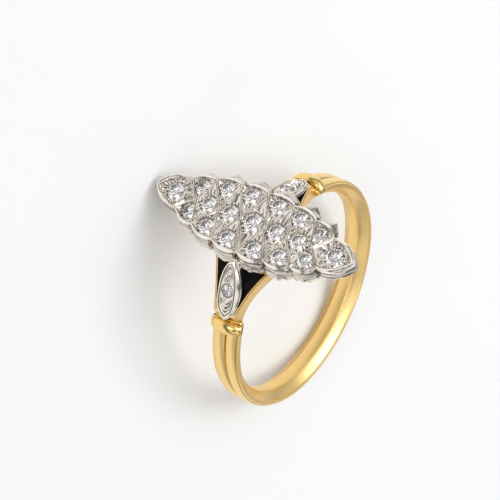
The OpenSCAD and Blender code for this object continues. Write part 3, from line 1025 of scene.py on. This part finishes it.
# Painted shade: each point's amount, made uneven by the smudges, mixes the metal towards its dark
# colour.
ins, outs, painted_shade_node = add("NodeGroupInput"), add("NodeGroupOutput"), add("ShaderNodeAttribute")
painted_shade_node.attribute_name = "painted_shade"
uneven, mixed, spread = add("ShaderNodeMath"), add("ShaderNodeMix"), add("ShaderNodeMapRange")
uneven.operation = "MULTIPLY"
mixed.data_type = "RGBA"
spread.inputs["From Min"].default_value = 0.3
spread.inputs["From Max"].default_value = 0.7
spread.inputs["To Min"].default_value = 0.45
spread.inputs["To Max"].default_value = 1.0
link = painted_shade_group.links.new
link(ins.outputs["Smudges"], spread.inputs["Value"])
link(painted_shade_node.outputs["Fac"], uneven.inputs[0])
link(spread.outputs["Result"], uneven.inputs[1])
link(uneven.outputs[0], mixed.inputs["Factor"])
link(ins.outputs["Metal"], mixed.inputs[6])
link(ins.outputs["Dark"], mixed.inputs[7])
link(mixed.outputs[2], outs.inputs["Color"])
print("nodes for dark pits:", len(painted_shade_group.nodes))


# %% The metals
def new_material(name):
    """A new material, its nodes, its link function and its Principled BSDF."""
    made = bpy.data.materials.new(name)
    made.use_nodes = True
    nodes = made.node_tree.nodes
    return made, nodes, made.node_tree.links.new, nodes["Principled BSDF"]


def metal(name, colour, shade_colour, rough, rough_more, grain, depth):
    """A metal with fine marks in its gloss, and painted shade in its grooves, cuts and notches."""
    made, nodes, link, skin = new_material(name)
    lines, shade = nodes.new("ShaderNodeGroup"), nodes.new("ShaderNodeGroup")
    lines.node_tree, shade.node_tree = marks, painted_shade_group
    lines.inputs["Grain"].default_value = grain
    shade.inputs["Metal"].default_value = (*colour, 1)
    shade.inputs["Dark"].default_value = (*shade_colour, 1)
    gloss, bump = nodes.new("ShaderNodeMapRange"), nodes.new("ShaderNodeBump")
    gloss.inputs["To Min"].default_value = rough
    gloss.inputs["To Max"].default_value = rough + rough_more
    bump.inputs["Strength"].default_value = 1
    bump.inputs["Distance"].default_value = depth
    link(lines.outputs["Smudges"], shade.inputs["Smudges"])
    link(lines.outputs["Smudges"], gloss.inputs["Value"])
    link(lines.outputs["Marks"], bump.inputs["Height"])
    link(shade.outputs["Color"], skin.inputs["Base Color"])
    link(gloss.outputs["Result"], skin.inputs["Roughness"])
    link(bump.outputs["Normal"], skin.inputs["Normal"])
    skin.inputs["Metallic"].default_value = 1
    return made


# Colour, colour under painted shade, roughness, how much rougher in smudges, scale and depth of the
# marks
BRIGHT = ((0.96, 0.68, 0.26), (0.32, 0.16, 0.03), 0.1, 0.1, 9000, 1e-6)
SATIN = ((0.97, 0.7, 0.29), (0.4, 0.22, 0.05), 0.28, 0.12, 26000, 2.5e-6)
WHITE = ((0.95, 0.89, 0.81), (0.12, 0.085, 0.06), 0.1, 0.12, 14000, 3e-6)
bright_gold = metal("bright_gold", *BRIGHT)
satin_gold = metal("satin_gold", *SATIN)
white_metal = metal("white_metal", *WHITE)
print("metals:", [made.name for made in (bright_gold, satin_gold, white_metal)])

# %% [markdown]
# Black enamel is glass powder fused in the sunk field. It is nearly flat, a little glossy and
# slightly uneven. The brilliants are clear and bend light strongly, and their facets do the rest.

# %% Enamel and stones
enamel, nodes, link, skin = new_material("black_enamel")
lines = nodes.new("ShaderNodeGroup")
lines.node_tree = marks
lines.inputs["Grain"].default_value = 5000
bump, gloss = nodes.new("ShaderNodeBump"), nodes.new("ShaderNodeMapRange")
bump.inputs["Distance"].default_value = 4e-6
gloss.inputs["To Min"].default_value = 0.35
gloss.inputs["To Max"].default_value = 0.55
link(lines.outputs["Marks"], bump.inputs["Height"])
link(lines.outputs["Smudges"], gloss.inputs["Value"])
link(gloss.outputs["Result"], skin.inputs["Roughness"])
link(bump.outputs["Normal"], skin.inputs["Normal"])
skin.inputs["Base Color"].default_value = (0.004, 0.0035, 0.003, 1)
skin.inputs["Specular IOR Level"].default_value = 0.12

brilliant, nodes, link, skin = new_material("brilliant")
lines = nodes.new("ShaderNodeGroup")
lines.node_tree = marks
gloss = nodes.new("ShaderNodeMapRange")
gloss.inputs["To Min"].default_value = 0.0
gloss.inputs["To Max"].default_value = 0.03
link(lines.outputs["Smudges"], gloss.inputs["Value"])
link(gloss.outputs["Result"], skin.inputs["Roughness"])
skin.inputs["Base Color"].default_value = (0.9, 0.86, 0.82, 1)
skin.inputs["IOR"].default_value = 2.42
skin.inputs["Transmission Weight"].default_value = 1
print("enamel and stones:", enamel.name, brilliant.name)


# %% Give each piece its finish
def finish(piece, material):
    """Gives a piece one material."""
    piece.data.materials.clear()
    piece.data.materials.append(material)


for piece in bpy.context.scene.objects:
    if piece.type != "MESH":
        continue
    if piece.name.startswith(("band", "shoulder")):
        finish(piece, satin_gold)
    elif piece.name.startswith(("collar", "rail", "gold")):
        finish(piece, bright_gold)
    elif piece.name.startswith("enamel"):
        finish(piece, enamel)
    elif piece.name.startswith("stone"):
        finish(piece, brilliant)
    else:
        finish(piece, white_metal)
    print(piece.name, "wears", piece.data.materials[0].name)

# %% [markdown]
# ## Floor, light and camera
# The ring lies on pale paper under soft light. Jewellery needs something dark to mirror as well,
# so the sky above the paper is darker near the horizon and has soft dark patches.

# %% Floor
clear()
bpy.ops.mesh.primitive_plane_add(size=1.6, location=(0, 0, 0))
floor = bpy.context.object
floor.name = "floor"
paper, nodes, link, skin = new_material("pale_paper")
skin.inputs["Base Color"].default_value = (0.86, 0.865, 0.87, 1)
skin.inputs["Roughness"].default_value = 0.9
skin.inputs["Specular IOR Level"].default_value = 0.1
finish(floor, paper)
print("floor:", [round(side, 2) for side in floor.dimensions])

# %% Sky and lamps
# Height above the horizon and brightness there
SKY = [(0.0, 0.35), (0.12, 0.25), (0.3, 0.9), (0.55, 1.0), (1.0, 1.1)]
world = bpy.data.worlds.new("studio")
bpy.context.scene.world = world
world.use_nodes = True
nodes, link = world.node_tree.nodes, world.node_tree.links.new
add = nodes.new
place, parts, ramp = add("ShaderNodeTexCoord"), add("ShaderNodeSeparateXYZ"), add("ShaderNodeValToRGB")
link(place.outputs["Generated"], parts.inputs[0])
link(parts.outputs["Z"], ramp.inputs["Fac"])
while len(ramp.color_ramp.elements) < len(SKY):
    ramp.color_ramp.elements.new(0.5)
for element, (at, grey) in zip(ramp.color_ramp.elements, SKY):
    element.position = at
    element.color = (grey, grey, grey, 1)
blots, edge, product = add("ShaderNodeTexNoise"), add("ShaderNodeMapRange"), add("ShaderNodeMix")
blots.inputs["Scale"].default_value = 3.3
blots.inputs["Detail"].default_value = 1
edge.inputs["From Min"].default_value = 0.4
edge.inputs["From Max"].default_value = 0.46
edge.inputs["To Min"].default_value = 0.12
edge.inputs["To Max"].default_value = 1.0
product.data_type = "RGBA"
product.blend_type = "MULTIPLY"
product.inputs["Factor"].default_value = 1
link(place.outputs["Generated"], blots.inputs["Vector"])
link(blots.outputs["Fac"], edge.inputs["Value"])
link(ramp.outputs["Color"], product.inputs[6])
link(edge.outputs["Result"], product.inputs[7])
link(product.outputs[2], nodes["Background"].inputs["Color"])
nodes["Background"].inputs["Strength"].default_value = 0.9


def lamp(name, place, size, power):
    """A square soft lamp that looks at the ring."""
    clear()
    bpy.ops.object.light_add(type="AREA", location=place)
    made = bpy.context.object
    made.name = name
    made.data.size = size
    made.data.energy = power
    made.rotation_euler = Vector(place).to_track_quat("Z", "Y").to_euler()


lamp("softbox_top", (0.05, 0.12, 0.32), 0.22, 0.55)
lamp("softbox_side", (-0.25, -0.16, 0.16), 0.12, 0.1)
print("stops of the sky:", len(SKY))

# %% [markdown]
# The photograph looks down at the ring from beside the head. In the upright ring's frame the
# camera stands 120 mm away, and the whole ring was solved from that one place.

# %% Camera
CAMERA_AWAY = 120
# The middle of the picture lies a little to the left of the finger hole's middle and above it
LOOK_RIGHT, LOOK_UP = -0.03033, 0.02687
right = Vector((0.8241, 0.4872, -0.2887))
up = Vector((-0.3644, 0.8464, 0.3883))
back = Vector((0.4336, -0.2148, 0.8751)).normalized()
eye = LAY_DOWN @ (back * CAMERA_AWAY)
look = -back + LOOK_RIGHT * right + LOOK_UP * up
back = -look.normalized()
right = up.cross(back).normalized()
up = back.cross(right)
row_turn = turn.to_3x3()
bpy.ops.object.camera_add(location=eye)
camera = bpy.context.object
axes = Matrix((row_turn @ right, row_turn @ up, row_turn @ back)).transposed()
camera.rotation_euler = axes.to_euler()
camera.data.lens = 108
camera.data.sensor_width = 36
camera.data.clip_start = 0.001
camera.data.clip_end = 10
bpy.context.scene.camera = camera
bpy.context.scene.view_settings.view_transform = "Standard"
print("camera at", [round(n, 4) for n in eye])
